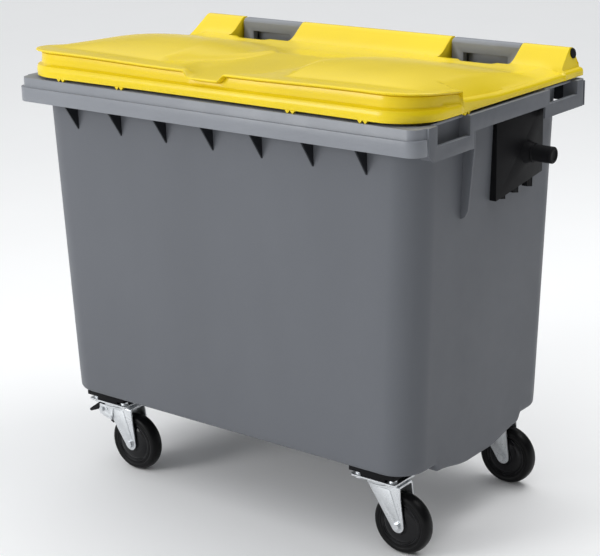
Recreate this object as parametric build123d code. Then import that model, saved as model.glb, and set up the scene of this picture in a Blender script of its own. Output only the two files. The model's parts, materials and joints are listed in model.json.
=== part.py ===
from build123d import *
import math
import os

os.makedirs("parts", exist_ok=True)

# A four-wheeled waste container: a tapered tub with a stepped rim, a hinged lid, lifting
# trunnions on both ends and four swivel casters. Millimetres, +Z up. The origin lies on the
# ground under the middle; +X runs along the long side and the lid is hinged on the +Y side.

# rim
RIM_HALF_X = 631.0
RIM_HALF_Y = 384.0
RIM_TOP = 1097.0
RIM_FOOT = 1036.0
RIM_STEP_Z = 1073.0
RIM_STEP = 8.0
RIM_WALL = 5.0
RIM_FLANGE = 6.0
RIM_FRONT_RADIUS = 36.0
RIM_REAR_RADIUS = 16.0
RIM_BAND_END = -345.0
HOUSING_START = -338.0

# tub
FOOT_Z = 228.0
FOOT_HALF_X = 566.0
FOOT_HALF_Y = 328.0
TOP_HALF_X = 599.0
TOP_HALF_Y = 335.0
TUB_RADIUS = 80.0
TUB_WALL = 5.0
FLOOR = 6.0
BELLY_Z = 184.0
BELLY_SHOULDER_Z = 207.0
BELLY_HALF = 60.0
BELLY_SHOULDER = 188.0
BELLY_EDGE = 205.0
TUB_TOP = RIM_TOP - RIM_FLANGE

# grip pockets in the ends of the rim: (window start, window end, pocket end, lowest point)
FRONT_GRIP = (-304.0, -167.0, -149.0, 1017.0)
REAR_GRIP = (200.0, 342.0, RIM_HALF_Y, 1029.0)
GRIP_WINDOW_DEPTH = 33.0
GRIP_BAR = 12.0
SIDE_BAND_FOOT = 1058.0
REAR_GRIP_START = 179.0

# gussets under the rim
FIN_PITCH = 153.0
FIN_COUNT = 7
FIN_THICK = 5.0
FIN_TIP_Z = 963.0
SIDE_FIN_Y = -139.0
SIDE_FIN_TIP_Z = 841.0

# lid and its hinge
HINGE_Y = 364.0
HINGE_Z = 1161.0
ROD_R = 8.0
ROD_FIT = 0.06
LID_HALF_X = 622.0
LID_FRONT = -372.0
LID_REAR = RIM_HALF_Y
LID_FOOT = 1104.0
LID_FRONT_RADIUS = 110.0
LID_REAR_RADIUS = 20.0
LID_WALL = 4.0
RIDGE_FRONT = 301.0
RIDGE_FRONT_Z = 1129.0
RIDGE_R = 15.0
RIDGE_HALF_TOP = 599.0
RIDGE_FLARE = 12.0
NOTCH_FRONT = 281.0
HANDLE_X = 356.0
HANDLE_HALF = 102.5
HANDLE_BACK = 372.0
NOTCH_GAP = 5.0

# lifting trunnions
TRUNNION_Y = 131.0
TRUNNION_Z = 953.0
TRUNNION_TIP = 685.0
TRUNNION_R = 21.0
PANEL_FACE = 610.0
PANEL_START = -14.0
PANEL_END = 207.0
PANEL_FOOT = 859.0
PANEL_RISE = 31.0
PANEL_FEET = ((22.0, 7.0), (84.0, 13.0), (152.0, 21.0))

# casters
CASTER_X = 447.0
CASTER_Y = 251.0
TRAIL = 55.0
WHEEL_R = 80.0
TYRE_HALF = 19.0
AXLE_Z = WHEEL_R
FORK_INNER = 25.0
FORK_WALL = 4.0
CROWN_TOP = 184.0
PLATE_TOP = 200.0
PLATE_THICK = 4.0
PLATE_HALF_X = 67.0
PLATE_HALF_Y = 56.0
MOUNT_OUTER_Y = 60.0
MOUNT_INNER_Y = 45.5
MOUNT_FOOT = 212.0
BOLT_X = 50.0
BOLT_Y = 37.0
BOLT_R = 6.0
AXLE_R = 5.0
CASTERS = {
    "front_left": (-CASTER_X, -CASTER_Y),
    "front_right": (CASTER_X, -CASTER_Y),
    "rear_left": (-CASTER_X, CASTER_Y),
    "rear_right": (CASTER_X, CASTER_Y),
}
BRAKED = ("front_left", "rear_left")
BRAKE_PIVOT_X = -44.0
BRAKE_PIVOT_Z = 163.0


def box(x0, x1, y0, y1, z0, z1):
    """A block given by its limits."""
    centre = Pos((x0 + x1) / 2, (y0 + y1) / 2, (z0 + z1) / 2)
    return centre * Box(x1 - x0, y1 - y0, z1 - z0)


def disc(x, y, z0, z1, radius):
    """An upright cylinder between two heights."""
    return Pos(x, y, (z0 + z1) / 2) * Cylinder(radius, z1 - z0)


def rod_x(x0, x1, y, z, radius):
    """A cylinder along X between two places."""
    return Pos((x0 + x1) / 2, y, z) * Rot(0, 90, 0) * Cylinder(radius, x1 - x0)


def rod_y(x, y0, y1, z, radius):
    """A cylinder along Y between two places."""
    return Pos(x, (y0 + y1) / 2, z) * Rot(90, 0, 0) * Cylinder(radius, y1 - y0)


def hexagon(x, y, z0, z1, flats):
    """An upright hexagonal prism, as a nut or a bolt head."""
    outline = Plane.XY.offset(z0) * Pos(x, y) * RegularPolygon(flats / 2, 6, major_radius=False)
    return extrude(outline, z1 - z0)


def hexagon_y(x, y0, y1, z, flats):
    """A hexagonal prism along Y."""
    plane = Plane(origin=(x, y0, z), x_dir=(1, 0, 0), z_dir=(0, 1, 0))
    return extrude(plane * RegularPolygon(flats / 2, 6, major_radius=False), y1 - y0)


def both_ends(part):
    """The part and its mirror image at the other end of the container."""
    return part + mirror(part, about=Plane.YZ)


def plan(half_x, y0, y1, front_radius, rear_radius):
    """A rectangle seen from above, with its own corner radius at front and rear."""
    face = Pos(0, (y0 + y1) / 2) * Rectangle(2 * half_x, y1 - y0)
    corners = face.vertices().sort_by(Axis.Y)
    face = fillet(corners[:2], front_radius)
    corners = face.vertices().sort_by(Axis.Y)
    return fillet(corners[-2:], rear_radius)


def slab(half_x, y0, y1, front_radius, rear_radius, z0, z1):
    """An upright prism on a plan."""
    return extrude(Plane.XY.offset(z0) * plan(half_x, y0, y1, front_radius, rear_radius), z1 - z0)


def side_cut(points, x0, x1):
    """A prism along X on an outline of (y, z) points."""
    face = make_face(Polyline(*points, close=True))
    return extrude(Plane.YZ.offset(x0) * face, x1 - x0)


def front_cut(points, y0, y1):
    """A prism along Y on an outline of (x, z) points."""
    plane = Plane(origin=(0, y1, 0), x_dir=(1, 0, 0), z_dir=(0, -1, 0))
    return extrude(plane * make_face(Polyline(*points, close=True)), y1 - y0)


def tub_half(z):
    """Half the tub's outer width and depth at a height: its walls lean out evenly."""
    share = (z - FOOT_Z) / (RIM_FOOT - FOOT_Z)
    half_x = FOOT_HALF_X + (TOP_HALF_X - FOOT_HALF_X) * share
    half_y = FOOT_HALF_Y + (TOP_HALF_Y - FOOT_HALF_Y) * share
    return half_x, half_y


def tub_prism(z0, z1, inset):
    """The tub's tapered outer form between two heights, drawn in by an inset."""
    sections = []
    for z in (z0, z1):
        half_x, half_y = tub_half(z)
        outline = RectangleRounded(2 * (half_x - inset), 2 * (half_y - inset), TUB_RADIUS - inset)
        sections.append(Plane.XY.offset(z) * outline)
    return loft(sections, ruled=True)


def above_floor(lift):
    """Everything above the underside, which drops to a belly between the casters."""
    far = 450.0
    outline = [
        (-far, FOOT_Z + lift),
        (-BELLY_EDGE, FOOT_Z + lift),
        (-BELLY_SHOULDER, BELLY_SHOULDER_Z + lift),
        (-BELLY_HALF, BELLY_Z + lift),
        (BELLY_HALF, BELLY_Z + lift),
        (BELLY_SHOULDER, BELLY_SHOULDER_Z + lift),
        (BELLY_EDGE, FOOT_Z + lift),
        (far, FOOT_Z + lift),
        (far, RIM_TOP + 100),
        (-far, RIM_TOP + 100),
    ]
    return side_cut(outline, -700, 700)


def tub_shell():
    outer = tub_prism(BELLY_Z - 20, TUB_TOP, 0) & above_floor(0)
    inner = tub_prism(BELLY_Z - 30, TUB_TOP + 30, TUB_WALL) & above_floor(FLOOR)
    pad = tub_prism(BELLY_Z, TUB_TOP, 0)
    pad &= both_ends(box(583, 640, PANEL_START, PANEL_END, 846, 1060))
    shell = outer - inner + pad
    holes = [disc(x, y, 220, 240, BOLT_R + 0.5) for x, y in caster_bolt_places()]
    holes.append(disc(0, 0, 170, 200, 22))
    holes.append(both_ends(rod_x(570, 640, TRUNNION_Y, TRUNNION_Z, 15.0)))
    holes += [both_ends(rod_x(570, 640, y, z, 4.0)) for y, z in trunnion_screw_places()]
    return shell - holes


def rim_ring(half_x, half_y, shrink, z0, z1, thick=RIM_WALL):
    """A closed band round the rim, between two heights."""
    front = RIM_FRONT_RADIUS - shrink
    rear = RIM_REAR_RADIUS - shrink
    outer = slab(half_x, -half_y, half_y, front, rear, z0, z1)
    rest = (front - thick, max(rear - thick, 2.0))
    return outer - slab(half_x - thick, thick - half_y, half_y - thick, *rest, z0 - 1, z1 + 1)


def rim_front():
    """The stepped band along the front and round both front corners."""
    lower = rim_ring(RIM_HALF_X, RIM_HALF_Y, 0, RIM_FOOT, RIM_STEP_Z)
    ledge = rim_ring(RIM_HALF_X, RIM_HALF_Y, 0, RIM_STEP_Z - 5, RIM_STEP_Z, 13)
    half_x = RIM_HALF_X - RIM_STEP
    half_y = RIM_HALF_Y - RIM_STEP
    upper = rim_ring(half_x, half_y, RIM_STEP, RIM_STEP_Z - 1, RIM_TOP)
    top = slab(half_x, -half_y, half_y, RIM_FRONT_RADIUS - RIM_STEP, 8, TUB_TOP, RIM_TOP)
    band = lower + ledge + upper + top
    return band & box(-700, 700, -500, RIM_BAND_END, 1000, 1200)


def rim_groove():
    """The narrow recess between the front band and the grips."""
    half_x = RIM_HALF_X - 7
    half_y = RIM_HALF_Y - 7
    ring = rim_ring(half_x, half_y, 7, RIM_FOOT + 18, RIM_TOP)
    top = slab(half_x, -half_y, half_y, RIM_FRONT_RADIUS - 7, 9, TUB_TOP, RIM_TOP)
    return (ring + top) & box(-700, 700, RIM_BAND_END - 1, HOUSING_START + 1, 1000, 1200)


def grip_cuts(grip):
    """The open-topped window through the end of the rim, over its grip bar."""
    start, end, _, foot = grip
    window = box(RIM_HALF_X - 21, 700, start, end, foot + GRIP_WINDOW_DEPTH, 1200)
    slot = box(RIM_HALF_X - 21, RIM_HALF_X - GRIP_BAR, start, end, foot - 5, 1200)
    return window + slot


def grip_webs(grip):
    """The grip bar and the webs that stand between it and the tub."""
    start, end, stop, foot = grip
    sill = foot + GRIP_WINDOW_DEPTH
    edge = RIM_HALF_X - 1
    bar = box(RIM_HALF_X - GRIP_BAR, edge, start - 1, end + 1, foot, sill)
    webs = box(590, edge, start - 5, start, foot, TUB_TOP + 1)
    webs += box(590, edge, end, end + 5, foot, TUB_TOP + 1)
    webs += box(590, edge, stop - 5, stop, foot, TUB_TOP + 1)
    return bar + webs


def rim_ends():
    """The plain bands along both ends and the rear, with four grips."""
    half_x = RIM_HALF_X
    half_y = RIM_HALF_Y
    skirt = rim_ring(half_x, half_y, 0, FRONT_GRIP[3], RIM_TOP)
    skirt += slab(half_x, -half_y, half_y, RIM_FRONT_RADIUS, RIM_REAR_RADIUS, TUB_TOP, RIM_TOP)
    skirt &= box(-700, 700, HOUSING_START, 500, 1000, 1200)
    low = 1000
    skirt -= both_ends(box(590, 700, FRONT_GRIP[2], REAR_GRIP_START, low, SIDE_BAND_FOOT))
    skirt -= both_ends(box(590, 700, REAR_GRIP_START, 360, low, REAR_GRIP[3]))
    skirt -= box(-700, 700, 360, 500, low, REAR_GRIP[3])
    skirt -= box(-590, 590, 350, 500, low, RIM_FOOT)
    skirt -= both_ends(grip_cuts(FRONT_GRIP) + grip_cuts(REAR_GRIP))
    skirt += both_ends(grip_webs(FRONT_GRIP))
    rear_webs = grip_webs(REAR_GRIP) & box(0, 640, 0, RIM_HALF_Y - 1, 1000, 1200)
    rear_webs -= box(580, RIM_HALF_X - GRIP_BAR, REAR_GRIP_START, REAR_GRIP[0], 1000, SIDE_BAND_FOOT)
    skirt += both_ends(rear_webs)
    front_web = box(590, RIM_HALF_X - 1, HOUSING_START, HOUSING_START + 5, 1030, TUB_TOP + 1)
    skirt += both_ends(front_web)
    start = HOUSING_START - 1
    foot = FRONT_GRIP[3]
    wedge = side_cut([(start, foot + 20), (start, foot - 5), (start + 27, foot - 5)], 590, 640)
    return skirt - both_ends(wedge)


def rim_fins():
    """Triangular gussets between the rim and the tub's walls."""
    reach = RIM_HALF_Y - RIM_WALL + 1
    upper = reach - RIM_STEP
    wall = TOP_HALF_Y - 5
    outline = [(-wall, FIN_TIP_Z), (-wall, TUB_TOP + 1), (-upper, TUB_TOP + 1)]
    outline += [(-upper, RIM_STEP_Z - 2), (-reach, RIM_STEP_Z - 2), (-reach, RIM_FOOT + 2)]
    fins = []
    for i in range(FIN_COUNT):
        x = (i - (FIN_COUNT - 1) / 2) * FIN_PITCH
        fin = side_cut(outline, x - FIN_THICK / 2, x + FIN_THICK / 2)
        fins.append(fin)
        fins.append(mirror(fin, about=Plane.XZ))
    outer = RIM_HALF_X - 3
    side = [
        (590, SIDE_FIN_TIP_Z),
        (604, SIDE_FIN_TIP_Z + 8),
        (612, SIDE_FIN_TIP_Z + 24),
        (outer, FRONT_GRIP[3] + 1),
        (outer, TUB_TOP + 1),
        (590, TUB_TOP + 1),
    ]
    slim = front_cut(side, SIDE_FIN_Y - FIN_THICK, SIDE_FIN_Y)
    return fins + [both_ends(slim)]


def rim_frame():
    frame = rim_front() + rim_groove() + rim_ends()
    for fin in rim_fins():
        frame += fin
    frame -= tub_prism(800, TUB_TOP, 0)
    frame -= tub_prism(1000, 1200, TUB_WALL)
    holes = [disc(x, y, 1085, 1110, 4.1) for x, y in handle_bolt_places()]
    return frame - holes


def handle_bolt_places():
    return [(side * HANDLE_X + step, 362.0) for side in (-1, 1) for step in (-40.0, 40.0)]


def rear_handle(side):
    """A grab handle that also carries the hinge rod: a bar on two pillars, closed behind."""
    x0 = side * HANDLE_X - HANDLE_HALF
    x1 = side * HANDLE_X + HANDLE_HALF
    pillar = 35.0
    y0 = 346.0
    y1 = 382.0
    top = 1173.0
    bar = [(y0, 1139), (y0, top - 9), (y0 + 4, top - 3), (y0 + 10, top), (y1 - 9, top), (y1, top - 9), (y1, 1139)]
    handle = side_cut(bar, x0, x1)
    handle += box(x0, x0 + pillar, y0, y1, RIM_TOP, 1157)
    handle += box(x1 - pillar, x1, y0, y1, RIM_TOP, 1157)
    handle += box(x0, x1, y0 - 4, y1, RIM_TOP, RIM_TOP + 6)
    handle -= rod_x(x0 - 5, x1 + 5, HINGE_Y, HINGE_Z, ROD_R + 0.02)
    for x, y in handle_bolt_places():
        handle -= disc(x, y, RIM_TOP - 5, RIM_TOP + 10, 4.1)
    wall = box(x0 + pillar, x1 - pillar, HANDLE_BACK, y1, RIM_TOP + 6, 1139)
    return [handle, wall]


def handle_bolts():
    """Flanged bolts that hold both handles down on the rim."""
    bolts = []
    for x, y in handle_bolt_places():
        bolt = disc(x, y, 1080, 1103, 4.0) + disc(x, y, 1103, 1104.5, 9)
        bolts.append(bolt + hexagon(x, y, 1104.5, 1109, 13))
    return bolts


def hinge_rod():
    return rod_x(-599.5, 599.5, HINGE_Y, HINGE_Z, ROD_R)


def ridge_outline(inset):
    """The hinge ridge's section as (y, z): a slope up to a round top over the hinge rod."""
    radius = RIDGE_R - inset
    foot_y = RIDGE_FRONT + inset * 1.4
    foot_z = RIDGE_FRONT_Z - inset
    reach = math.hypot(HINGE_Y - foot_y, HINGE_Z - foot_z)
    rise = math.atan2(HINGE_Z - foot_z, HINGE_Y - foot_y) + math.asin(radius / reach)
    start = rise + math.pi / 2
    steps = 8
    arc = []
    for i in range(steps + 1):
        a = start * (1 - i / steps)
        arc.append((HINGE_Y + radius * math.cos(a), HINGE_Z + radius * math.sin(a)))
    return [(foot_y, foot_z), *arc, (LID_REAR - inset, LID_FOOT + 12), (foot_y, LID_FOOT + 12)]


def ridge(inset):
    """The ridge's solid form, with end faces that flare outwards towards their foot."""
    body = side_cut(ridge_outline(inset), -LID_HALF_X, LID_HALF_X)
    top = RIDGE_HALF_TOP - 1.2 * inset
    foot = top + RIDGE_FLARE
    z0 = HINGE_Z + RIDGE_R
    z1 = z0 - 54
    wedge = [(top - RIDGE_FLARE / 5, z0 + 54 / 5), (foot, z1), (800, z1), (800, z0 + 54 / 5)]
    return body - both_ends(front_cut(wedge, 250, 450))


def lid_base(inset):
    """The lid's sloping cover over its plan, without ridge and humps."""
    front = LID_FRONT + inset
    rear = LID_REAR - inset
    foot = LID_FOOT if inset == 0 else LID_FOOT - 20
    outline = [
        (front, foot),
        (front, LID_FOOT + 14 - inset / 2),
        (front + 17, LID_FOOT + 37 - inset / 2),
        (front + 2, LID_FOOT + 55 - inset),
        (front + 20, LID_FOOT + 64 - inset),
        (240, LID_FOOT + 32 - inset),
        (rear, LID_FOOT + 24 - inset),
        (rear, foot),
    ]
    cover = side_cut(outline, -700, 700)
    top = LID_FOOT + 80
    shape = (LID_HALF_X - inset, front, rear, LID_FRONT_RADIUS - inset, LID_REAR_RADIUS - inset)
    return cover & slab(*shape, foot, top)


def hump(side, inset):
    """One of the two raised pillows on the lid."""
    x = side * 318
    foot = Plane.XY.offset(1120 - inset) * Pos(x, -40) * RectangleRounded(520 - 2 * inset, 560 - 2 * inset, 90)
    top = Plane.XY.offset(1186 - inset) * Pos(x, -20) * RectangleRounded(170 - 2 * inset, 150 - 2 * inset, 60)
    return loft([foot, top], ruled=True)


def notch_limits(side):
    return side * HANDLE_X - HANDLE_HALF - NOTCH_GAP, side * HANDLE_X + HANDLE_HALF + NOTCH_GAP


def cheek(x0, x1):
    """A wall across the ridge, bored for the hinge rod."""
    points = ridge_outline(0)[:-2]
    points = [*points, (LID_REAR, LID_FOOT), (NOTCH_FRONT - LID_WALL, LID_FOOT)]
    points.append((NOTCH_FRONT - LID_WALL, RIDGE_FRONT_Z))
    return side_cut(points, x0, x1)


def lid_shell():
    outer = lid_base(0) + ridge(0) + hump(-1, 0) + hump(1, 0)
    outer += box(-45, 45, -380, -350, 1144, 1164)
    inner = lid_base(LID_WALL) + ridge(LID_WALL)
    inner += hump(-1, LID_WALL) + hump(1, LID_WALL)
    shell = outer - inner
    for side in (-1, 1):
        x0, x1 = notch_limits(side)
        shell -= box(x0, x1, NOTCH_FRONT, 420, LID_FOOT - 20, 1220)
        shell += box(x0, x1, NOTCH_FRONT - LID_WALL, NOTCH_FRONT, LID_FOOT, 1131)
        shell += cheek(x0 - LID_WALL, x0) + cheek(x1, x1 + LID_WALL)
    return shell - rod_x(-640, 640, HINGE_Y, HINGE_Z, ROD_R + ROD_FIT)


def lid_buffers():
    """Pairs of small pointed stops under the lid's edge, which keep it just off the rim."""
    tip = RIM_TOP + 0.4
    stops = []
    for x in (-475, -270, 270, 475):
        for left in (x - 14, x + 1):
            tooth = [(left, LID_FOOT), (left + 13, LID_FOOT), (left + 8, tip), (left + 5, tip)]
            stops.append(front_cut(tooth, LID_FRONT + 1, LID_FRONT + 9))
    for y in (-179, -164):
        tooth = [(y, LID_FOOT), (y + 13, LID_FOOT), (y + 8, tip), (y + 5, tip)]
        stops.append(side_cut(tooth, LID_HALF_X - 9, LID_HALF_X - 1))
        stops.append(side_cut(tooth, 1 - LID_HALF_X, 9 - LID_HALF_X))
    return stops


def hinge_plug(side):
    """A round cap that lies on the ridge's sloping end and closes the rod's bore."""
    drop = RIDGE_R
    run = RIDGE_FLARE * drop / 54
    slope = math.atan2(54, RIDGE_FLARE)
    normal = (side * math.sin(slope), 0, math.cos(slope))
    centre = (side * (RIDGE_HALF_TOP + run), HINGE_Y, HINGE_Z)
    plane = Plane(origin=centre, x_dir=(0, 1, 0), z_dir=normal)
    return extrude(plane * Circle(13), 2.5)


def trunnion_screw_places():
    return [(y, z) for y in (TRUNNION_Y - 48, TRUNNION_Y + 48) for z in (TRUNNION_Z - 40, TRUNNION_Z + 40)]


def trunnion_panel(side):
    """The ribbed black panel that spreads the trunnion's load over the tub's end wall."""
    shoulder = REAR_GRIP[0] - 8
    high = SIDE_BAND_FOOT - 3
    outline = [(PANEL_START, 1072), (PANEL_START, PANEL_FOOT), (PANEL_END, PANEL_FOOT + PANEL_RISE)]
    outline += [(PANEL_END, high), (shoulder, high), (shoulder, 1072)]
    panel = side_cut(outline, PANEL_FACE - 4, PANEL_FACE)
    panel += box(580, PANEL_FACE - 1, PANEL_START, PANEL_START + 4, PANEL_FOOT, 1070)
    panel += box(580, PANEL_FACE - 1, PANEL_END - 4, PANEL_END, PANEL_FOOT + PANEL_RISE, high - 1)
    for centre, drop in PANEL_FEET:
        for step in (-11.0, -4.0, 3.0, 10.0):
            y = centre + step
            edge = PANEL_FOOT + PANEL_RISE * (y - PANEL_START) / (PANEL_END - PANEL_START)
            panel += box(580, PANEL_FACE - 2, y - 1.5, y + 1.5, edge - drop - step / 3, 1022)
    boss = Plane.YZ.offset(PANEL_FACE - 1) * Pos(TRUNNION_Y, TRUNNION_Z) * Circle(30)
    tip = Plane.YZ.offset(PANEL_FACE + 18) * Pos(TRUNNION_Y, TRUNNION_Z) * Circle(23.5)
    panel += loft([boss, tip]) + rod_x(580, PANEL_FACE, TRUNNION_Y, TRUNNION_Z, 30)
    for y, z in trunnion_screw_places():
        panel += rod_x(580, PANEL_FACE - 2, y, z, 9)
    panel -= tub_prism(780, 1091, 0)
    panel -= rod_x(570, 700, TRUNNION_Y, TRUNNION_Z, 15.0)
    for y, z in trunnion_screw_places():
        panel -= rod_x(570, PANEL_FACE - 5, y, z, 4.0)
    return panel if side > 0 else mirror(panel, about=Plane.YZ)


def trunnion_pin(side):
    """The steel lifting pin, with its flange inside the tub."""
    pin = rod_x(583, 676, TRUNNION_Y, TRUNNION_Z, 14.98)
    pin += rod_x(577, 583, TRUNNION_Y, TRUNNION_Z, 36)
    return pin if side > 0 else mirror(pin, about=Plane.YZ)


def trunnion_sleeve(side):
    """The black running sleeve over the lifting pin, with a collar at its inner end."""
    sleeve = rod_x(628.2, TRUNNION_TIP, TRUNNION_Y, TRUNNION_Z, TRUNNION_R)
    rims = sleeve.edges().filter_by(GeomType.CIRCLE).sort_by(Axis.X)
    sleeve = fillet(rims[-1:], 4)
    collar = rod_x(628.2, 634, TRUNNION_Y, TRUNNION_Z, 25)
    sleeve += chamfer(collar.edges().filter_by(GeomType.CIRCLE).sort_by(Axis.X)[-1:], 2)
    sleeve -= rod_x(620, 676.2, TRUNNION_Y, TRUNNION_Z, 15.0)
    sleeve -= rod_x(683, 690, TRUNNION_Y, TRUNNION_Z, 12)
    return sleeve if side > 0 else mirror(sleeve, about=Plane.YZ)


def trunnion_screws():
    """Screws from inside the tub into both trunnion panels."""
    screws = []
    for side in (-1, 1):
        for y, z in trunnion_screw_places():
            screw = rod_x(583, 602, y, z, 3.95) + rod_x(579, 583, y, z, 8)
            screws.append(screw if side > 0 else mirror(screw, about=Plane.YZ))
    return screws


def drain_plug():
    """The screw plug at the lowest point of the belly, with a bar to turn it by."""
    plug = disc(0, 0, 183.4 - 8, 181.4, 30) + disc(0, 0, 181, 198, 21.9)
    plug += box(-22, 22, -4, 4, 163.4, 176)
    return plug


def drain_seal():
    return disc(0, 0, 181.4, BELLY_Z, 29) - disc(0, 0, 180, 186, 22)


def caster_bolt_places():
    steps = [(sx * BOLT_X, sy * BOLT_Y) for sx in (-1, 1) for sy in (-1, 1)]
    return [(x + dx, y + dy) for x, y in CASTERS.values() for dx, dy in steps]


def caster_bolts():
    """Coach bolts from the tub's floor down through each caster's plate."""
    bolts = []
    for x, y in caster_bolt_places():
        bolt = disc(x, y, 187.5, FOOT_Z + FLOOR, BOLT_R)
        head = disc(x, y, FOOT_Z + FLOOR, FOOT_Z + FLOOR + 5, 14)
        bolts.append(bolt + chamfer(head.edges().sort_by(Axis.Z)[-1:], 3.5))
    return bolts


def caster_nuts():
    """Two nuts on each coach bolt: one under the mount and one under the plate."""
    nuts = []
    for x, y in caster_bolt_places():
        bore = disc(x, y, 180, 220, BOLT_R)
        nuts.append(hexagon(x, y, PLATE_TOP + 2, MOUNT_FOOT, 19) + disc(x, y, PLATE_TOP, PLATE_TOP + 2, 12) - bore)
        nuts.append(hexagon(x, y, 188.5, PLATE_TOP - PLATE_THICK, 19) - bore)
    return nuts


def caster_mount(front):
    """The black block between the tub's floor and the caster's plate, clear of the belly."""
    low = -MOUNT_OUTER_Y if front else -MOUNT_INNER_Y
    high = MOUNT_INNER_Y if front else MOUNT_OUTER_Y
    mount = box(-PLATE_HALF_X, PLATE_HALF_X, low, high, MOUNT_FOOT, FOOT_Z)
    mount += box(-36, 36, low + 6, high - 6, PLATE_TOP, MOUNT_FOOT)
    for dx in (-BOLT_X, BOLT_X):
        for dy in (-BOLT_Y, BOLT_Y):
            mount -= disc(dx, dy, 190, 240, BOLT_R)
    return mount


def caster_plate():
    """The pressed top plate, with the upper half of the swivel head and its kingpin."""
    foot = PLATE_TOP - PLATE_THICK
    plate = Plane.XY.offset(foot) * RectangleRounded(2 * PLATE_HALF_X, 2 * PLATE_HALF_Y, 8)
    plate = extrude(plate, PLATE_THICK)
    plate += disc(0, 0, 190, foot, 44) - disc(0, 0, 189, foot, 28)
    plate += disc(0, 0, 186.5, foot, 47) - disc(0, 0, 186, foot, 44.5)
    for dx in (-BOLT_X, BOLT_X):
        for dy in (-BOLT_Y, BOLT_Y):
            plate -= disc(dx, dy, 190, 205, BOLT_R)
    return plate - disc(0, 0, 180, 205, 8)


def kingpin():
    """The rivet on which the fork swivels."""
    pin = disc(0, 0, 172.6, PLATE_TOP - 0.2, 8)
    return pin + disc(0, 0, 170, 178, 13)


def ball_cage():
    """The ring of balls between the plate and the fork."""
    cage = disc(0, 0, CROWN_TOP, CROWN_TOP + 2, 41) - disc(0, 0, CROWN_TOP - 1, CROWN_TOP + 3, 31)
    balls = 16
    for i in range(balls):
        a = 2 * math.pi * i / balls
        cage += Pos(36 * math.cos(a), 36 * math.sin(a), CROWN_TOP + 2.7) * Sphere(2.6)
    return cage


def fork():
    """The pressed fork: a crown with two tapering legs that trail behind the kingpin."""
    outer = FORK_INNER + FORK_WALL
    tip = Plane(origin=(TRAIL, outer, AXLE_Z), x_dir=(1, 0, 0), z_dir=(0, -1, 0)) * Circle(18)
    outline = [(-37, CROWN_TOP), (61, CROWN_TOP), (73, AXLE_Z + 4), (TRAIL, AXLE_Z), (41.5, AXLE_Z - 12)]
    body = front_cut(outline, -outer, outer) + extrude(tip, 2 * outer)
    corners = body.edges().filter_by(Axis.X).sort_by(Axis.Z)
    body = fillet(corners[-2:], 7)
    gap = box(-60, 100, -FORK_INNER, FORK_INNER, 40, CROWN_TOP - 5)
    inside = gap.edges().filter_by(Axis.X).sort_by(Axis.Z)
    body -= fillet(inside[-2:], 4)
    rib = [(-16, 172), (34, 172), (TRAIL + 7, AXLE_Z + 16), (TRAIL - 5, AXLE_Z + 14)]
    body += front_cut(rib, -outer - 1.2, -outer) + front_cut(rib, outer, outer + 1.2)
    body += disc(0, 0, CROWN_TOP - 5, CROWN_TOP, 45)
    body -= disc(0, 0, CROWN_TOP - 20, CROWN_TOP + 5, 8.08)
    return body - rod_y(TRAIL, -40, 40, AXLE_Z, AXLE_R)


def axle_bolt():
    """The axle bolt with its washers and nut."""
    outer = FORK_INNER + FORK_WALL
    bolt = rod_y(TRAIL, -outer - 2, outer + 13, AXLE_Z, AXLE_R)
    bolt += rod_y(TRAIL, -outer - 2, -outer, AXLE_Z, 11) + hexagon_y(TRAIL, -outer - 8, -outer - 2, AXLE_Z, 16)
    washer = rod_y(TRAIL, outer, outer + 2, AXLE_Z, 11)
    nut = hexagon_y(TRAIL, outer + 2, outer + 10, AXLE_Z, 16)
    return [bolt, (washer + nut) - rod_y(TRAIL, 20, 60, AXLE_Z, AXLE_R)]


def wheel_centre():
    """The black wheel centre: a rim, a dished web and a raised nave."""
    rim_r = 57.0
    half = TYRE_HALF - 1
    points = [
        (9, -half - 4),
        (17, -half - 4),
        (21, -half + 1),
        (34, -half + 5),
        (50, -half + 3),
        (53, -half),
        (rim_r, -half),
        (rim_r, half),
        (53, half),
        (50, half - 3),
        (34, half - 5),
        (21, half - 1),
        (17, half + 4),
        (9, half + 4),
    ]
    section = Plane.XY * make_face(Polyline(*points, close=True))
    return revolve(section, Axis.Y, 360)


def tyre():
    """The solid rubber tyre, with rounded shoulders."""
    half = TYRE_HALF
    inner = 57.0
    side = WHEEL_R - 9
    path = Polyline((side, -half), (inner, -half + 1), (inner, half - 1), (side, half))
    path += ThreePointArc((side, half), (WHEEL_R, 0), (side, -half))
    return revolve(Plane.XY * make_face(path), Axis.Y, 360)


def wheel_bush():
    bush = rod_y(0, -23.5, 23.5, 0, 9)
    return bush - rod_y(0, -30, 30, 0, AXLE_R + 0.06)


def brake_bracket():
    """Two zinc cheeks riveted to the fork's legs, which carry the brake pedal."""
    outer = FORK_INNER + FORK_WALL
    outline = [(-52, 178), (-53, 150), (-38, 144), (-8, 138), (-2, 176)]
    cheeks = front_cut(outline, outer + 1.2, outer + 3.7) + front_cut(outline, -outer - 3.7, -outer - 1.2)
    for x, z in ((-26, 168), (-12, 146)):
        cheeks += rod_y(x, outer, outer + 6, z, 4) + rod_y(x, -outer - 6, -outer, z, 4)
    return cheeks - rod_y(BRAKE_PIVOT_X, -50, 50, BRAKE_PIVOT_Z, 4)


def brake_pin():
    pin = rod_y(BRAKE_PIVOT_X, -36, 36, BRAKE_PIVOT_Z, 4)
    return pin + rod_y(BRAKE_PIVOT_X, -38, -33, BRAKE_PIVOT_Z, 6.5) + rod_y(BRAKE_PIVOT_X, 33, 38, BRAKE_PIVOT_Z, 6.5)


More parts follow.
